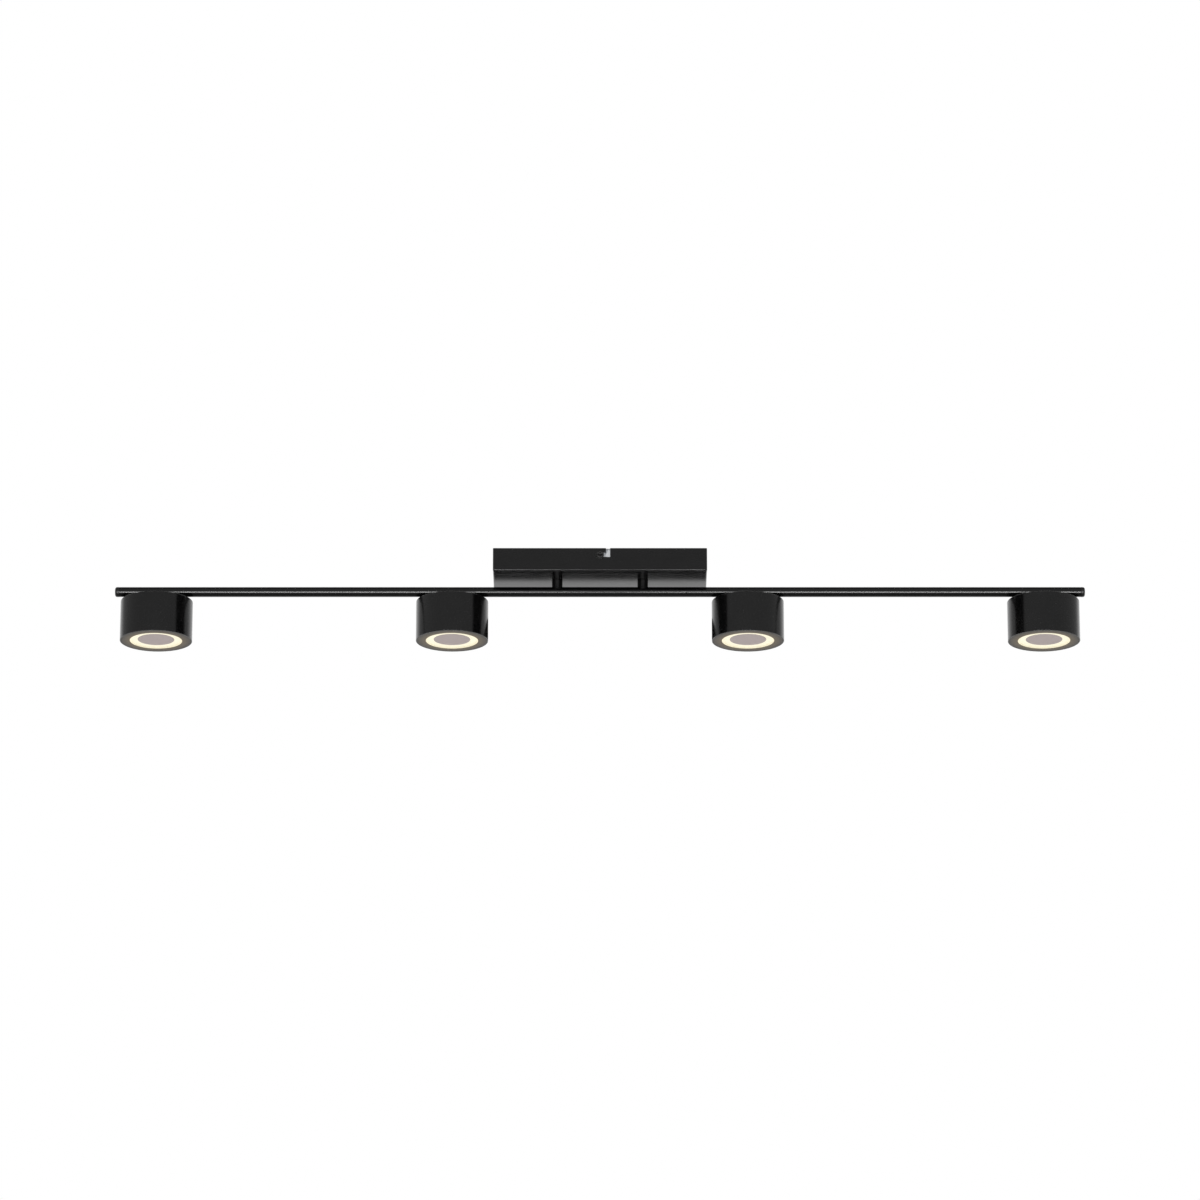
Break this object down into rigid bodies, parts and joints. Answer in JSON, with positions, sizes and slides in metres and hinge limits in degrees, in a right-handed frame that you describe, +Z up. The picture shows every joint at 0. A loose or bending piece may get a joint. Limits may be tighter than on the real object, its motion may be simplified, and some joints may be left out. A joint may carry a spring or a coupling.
{
  "type": "ceiling spot rail",
  "caption": "Black ceiling spot rail: a flat rectangular canopy, two short posts and a thin round bar carrying flat cylindrical LED spots that swivel and tilt.",
  "frame": {"origin": "in the ceiling plane, at the middle of the canopy and of its two ceiling screws", "axes": "+Z up into the ceiling, X along the bar, front towards -Y"},
  "size_m": [0.97, 0.072, 0.0867],
  "materials": {
    "canopy_paint": "satin black powder coat",
    "bar_paint": "satin black lacquer",
    "head_paint": "satin black powder coat",
    "galvanised_steel": "zinc plated sheet",
    "black_screw": "black zinc",
    "bright_screw": "zinc plated",
    "brass": "turned",
    "stem_black": "black nickel",
    "bezel_grey": "semi gloss dark grey, fine grain",
    "opal_lens": "opal, lit warm white",
    "disc_satin": "satin, faint lilac grey",
    "board_white": "white solder mask",
    "terminal_plastic": "natural nylon",
    "driver_plastic": "white moulded, fine spark texture",
    "wire_sheath": "coloured PVC sheath",
    "plug_black": "black moulded"
  },
  "bodies": {
    "root": {"canopy_cover": "canopy_paint", "ceiling_bracket": "galvanised_steel", "cover_screws": "black_screw", "earth_screw": "brass", "terminal_block": "terminal_plastic", "driver_case": "driver_plastic", "driver_lid": "driver_plastic", "post_left": "bar_paint", "post_right": "bar_paint", "post_nuts": "bright_screw", "bar_tube": "bar_paint", "end_plug_left": "plug_black", "end_plug_right": "plug_black", "swivel_bushes": "brass", "harness_wires": "wire_sheath", "mains_wires": "wire_sheath"},
    "stem_1": {"stem_1_yoke": "stem_black", "stem_1_clip": "bright_screw", "stem_1_lead": "wire_sheath"},
    "head_1": {"head_1_housing": "head_paint", "head_1_bezel": "bezel_grey", "head_1_diffuser": "opal_lens", "head_1_centre_disc": "disc_satin", "head_1_led_board": "board_white", "head_1_hinge_bracket": "galvanised_steel", "head_1_tilt_pins": "bright_screw", "head_1_screws": "bright_screw"},
    "stem_2": {"stem_2_yoke": "stem_black", "stem_2_clip": "bright_screw", "stem_2_lead": "wire_sheath"},
    "head_2": {"head_2_housing": "head_paint", "head_2_bezel": "bezel_grey", "head_2_diffuser": "opal_lens", "head_2_centre_disc": "disc_satin", "head_2_led_board": "board_white", "head_2_hinge_bracket": "galvanised_steel", "head_2_tilt_pins": "bright_screw", "head_2_screws": "bright_screw"},
    "stem_3": {"stem_3_yoke": "stem_black", "stem_3_clip": "bright_screw", "stem_3_lead": "wire_sheath"},
    "head_3": {"head_3_housing": "head_paint", "head_3_bezel": "bezel_grey", "head_3_diffuser": "opal_lens", "head_3_centre_disc": "disc_satin", "head_3_led_board": "board_white", "head_3_hinge_bracket": "galvanised_steel", "head_3_tilt_pins": "bright_screw", "head_3_screws": "bright_screw"},
    "stem_4": {"stem_4_yoke": "stem_black", "stem_4_clip": "bright_screw", "stem_4_lead": "wire_sheath"},
    "head_4": {"head_4_housing": "head_paint", "head_4_bezel": "bezel_grey", "head_4_diffuser": "opal_lens", "head_4_centre_disc": "disc_satin", "head_4_led_board": "board_white", "head_4_hinge_bracket": "galvanised_steel", "head_4_tilt_pins": "bright_screw", "head_4_screws": "bright_screw"}
  },
  "joints": [
    {"name": "swivel_1", "type": "hinge", "parent": "root", "child": "stem_1", "pos_m": [-0.4431, 0, -0.0411], "axis": [0, 0, 1], "range_deg": [-175, 175]},
    {"name": "tilt_1", "type": "hinge", "parent": "stem_1", "child": "head_1", "pos_m": [-0.4431, 0, -0.0537], "axis": [1, 0, 0], "range_deg": [-35, 35]},
    {"name": "swivel_2", "type": "hinge", "parent": "root", "child": "stem_2", "pos_m": [-0.1477, 0, -0.0411], "axis": [0, 0, 1], "range_deg": [-175, 175]},
    {"name": "tilt_2", "type": "hinge", "parent": "stem_2", "child": "head_2", "pos_m": [-0.1477, 0, -0.0537], "axis": [1, 0, 0], "range_deg": [-35, 35]},
    {"name": "swivel_3", "type": "hinge", "parent": "root", "child": "stem_3", "pos_m": [0.1477, 0, -0.0411], "axis": [0, 0, 1], "range_deg": [-175, 175]},
    {"name": "tilt_3", "type": "hinge", "parent": "stem_3", "child": "head_3", "pos_m": [0.1477, 0, -0.0537], "axis": [1, 0, 0], "range_deg": [-35, 35]},
    {"name": "swivel_4", "type": "hinge", "parent": "root", "child": "stem_4", "pos_m": [0.4431, 0, -0.0411], "axis": [0, 0, 1], "range_deg": [-175, 175]},
    {"name": "tilt_4", "type": "hinge", "parent": "stem_4", "child": "head_4", "pos_m": [0.4431, 0, -0.0537], "axis": [1, 0, 0], "range_deg": [-35, 35]}
  ]
}
